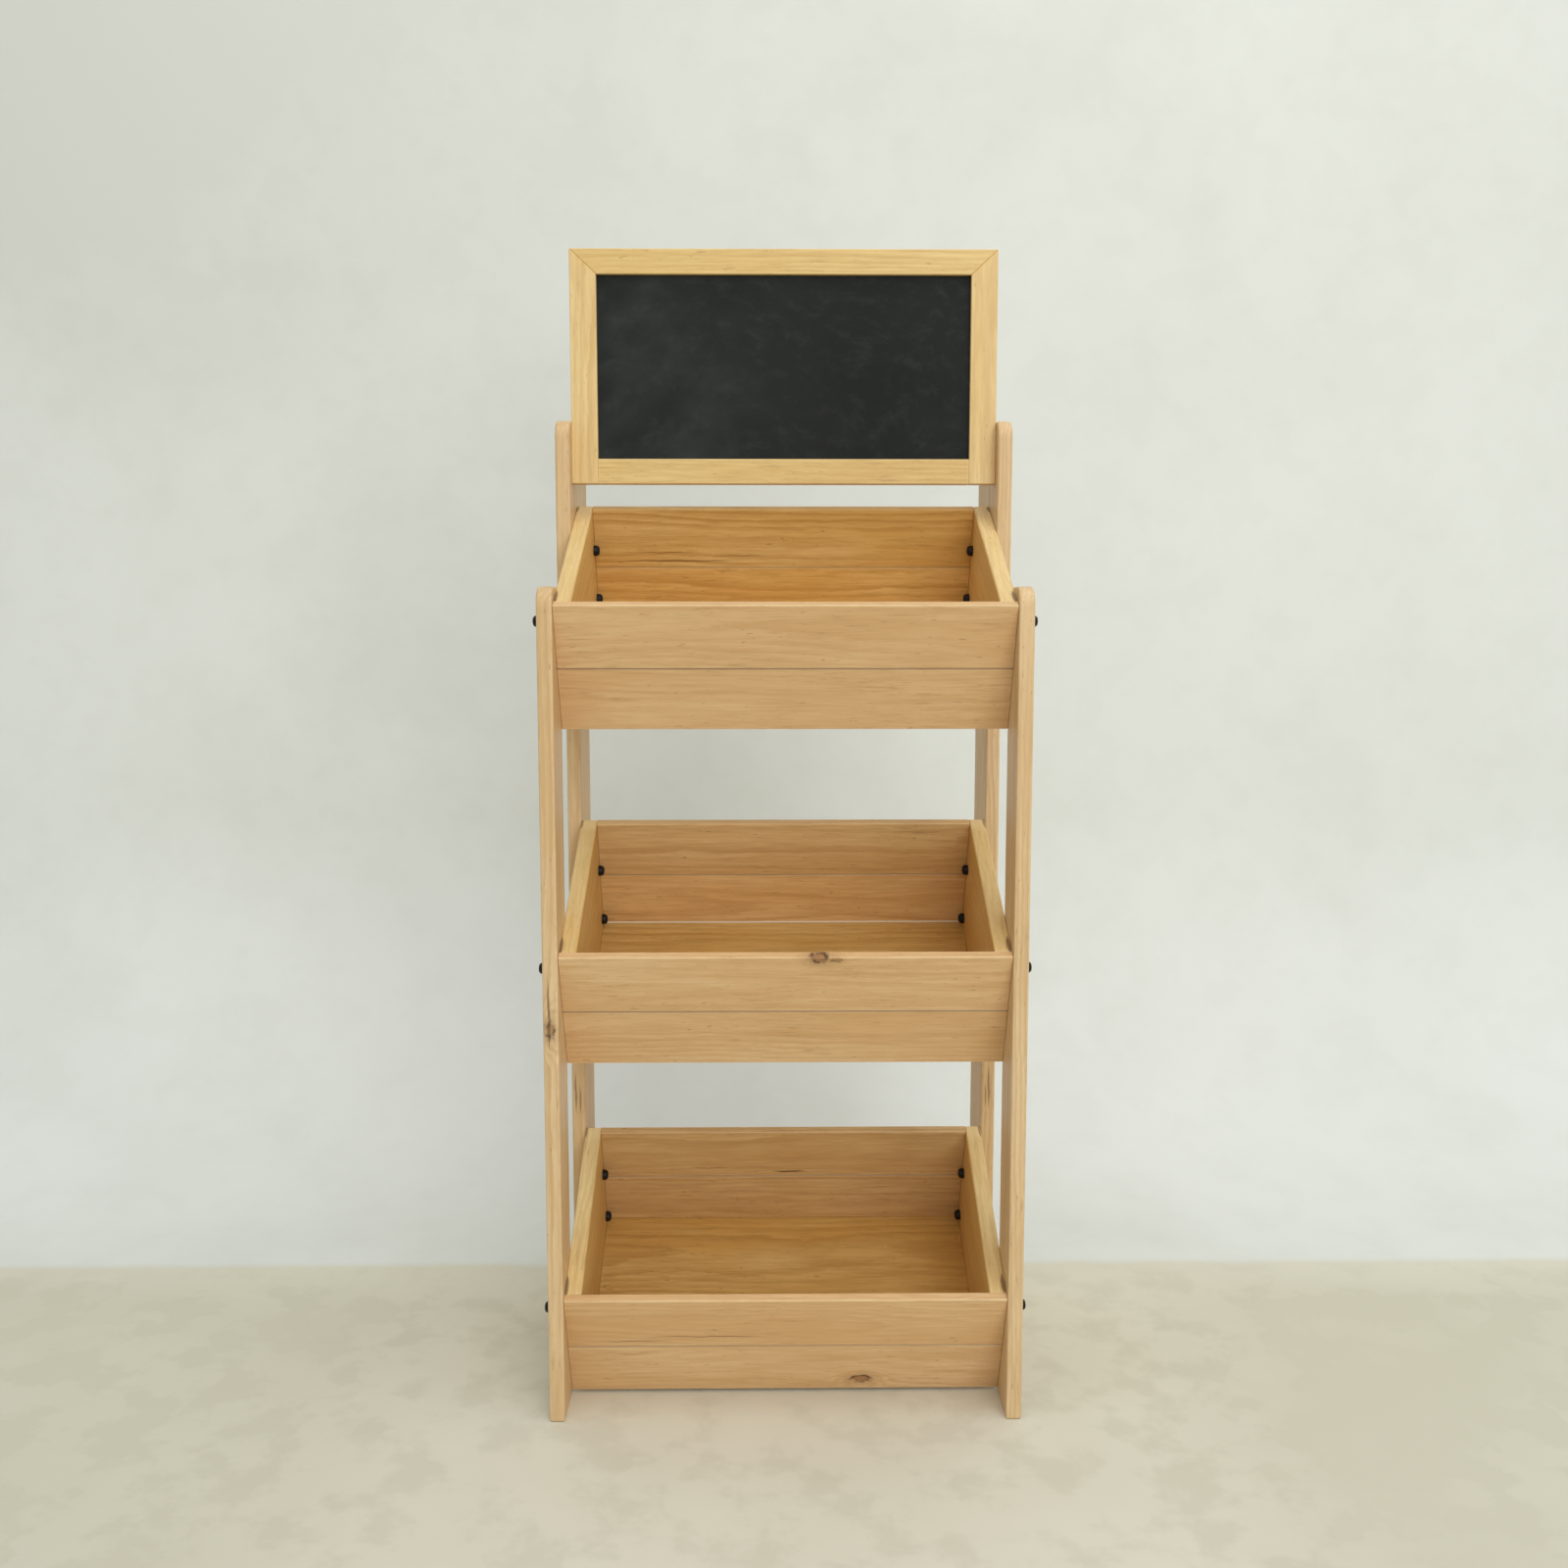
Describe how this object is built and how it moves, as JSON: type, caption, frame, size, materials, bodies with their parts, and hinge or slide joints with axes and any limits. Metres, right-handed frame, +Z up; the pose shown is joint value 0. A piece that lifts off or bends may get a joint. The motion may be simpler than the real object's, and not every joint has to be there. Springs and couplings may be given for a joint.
{
  "type": "display stand",
  "caption": "Free-standing pine display stand: forward-tilted slatted bins stacked between plank legs, with a framed chalkboard header above.",
  "frame": {"origin": "centre of the stand's footprint box, at floor level", "axes": "+Z up; -Y towards the customer, the side the bins tilt to; +X to the customer's right"},
  "size_m": [0.513, 0.312, 1.246],
  "materials": {
    "pine_uprights": "clear satin, honey pine with straight grain",
    "pine_front_slats": "clear satin, honey pine with knots",
    "pine_back_slats": "clear satin, honey pine",
    "pine_bin_sides": "clear satin, honey pine",
    "pine_bin_bases": "clear satin, honey pine",
    "pine_sign_frame": "clear satin, honey pine",
    "chalkboard": "matt charcoal chalkboard paint on hardboard",
    "black_screws": "black coated"
  },
  "bodies": {
    "root": {"left_front_leg": "pine_uprights", "left_back_leg": "pine_uprights", "left_header_post": "pine_uprights", "right_front_leg": "pine_uprights", "right_back_leg": "pine_uprights", "right_header_post": "pine_uprights", "top_front_slat_upper": "pine_front_slats", "top_front_slat_lower": "pine_front_slats", "top_back_slat_upper": "pine_back_slats", "top_back_slat_lower": "pine_back_slats", "top_side_left": "pine_bin_sides", "top_side_right": "pine_bin_sides", "top_base": "pine_bin_bases", "top_front_screws": "black_screws", "top_back_screws": "black_screws", "middle_front_slat_upper": "pine_front_slats", "middle_front_slat_lower": "pine_front_slats", "middle_back_slat_upper": "pine_back_slats", "middle_back_slat_lower": "pine_back_slats", "middle_side_left": "pine_bin_sides", "middle_side_right": "pine_bin_sides", "middle_base": "pine_bin_bases", "middle_front_screws": "black_screws", "middle_back_screws": "black_screws", "bottom_front_slat_upper": "pine_front_slats", "bottom_front_slat_lower": "pine_front_slats", "bottom_back_slat_upper": "pine_back_slats", "bottom_back_slat_lower": "pine_back_slats", "bottom_side_left": "pine_bin_sides", "bottom_side_right": "pine_bin_sides", "bottom_base": "pine_bin_bases", "bottom_front_screws": "black_screws", "bottom_back_screws": "black_screws", "sign_top_rail": "pine_sign_frame", "sign_bottom_rail": "pine_sign_frame", "sign_left_stile": "pine_sign_frame", "sign_right_stile": "pine_sign_frame", "chalkboard_panel": "chalkboard"}
  },
  "joints": []
}
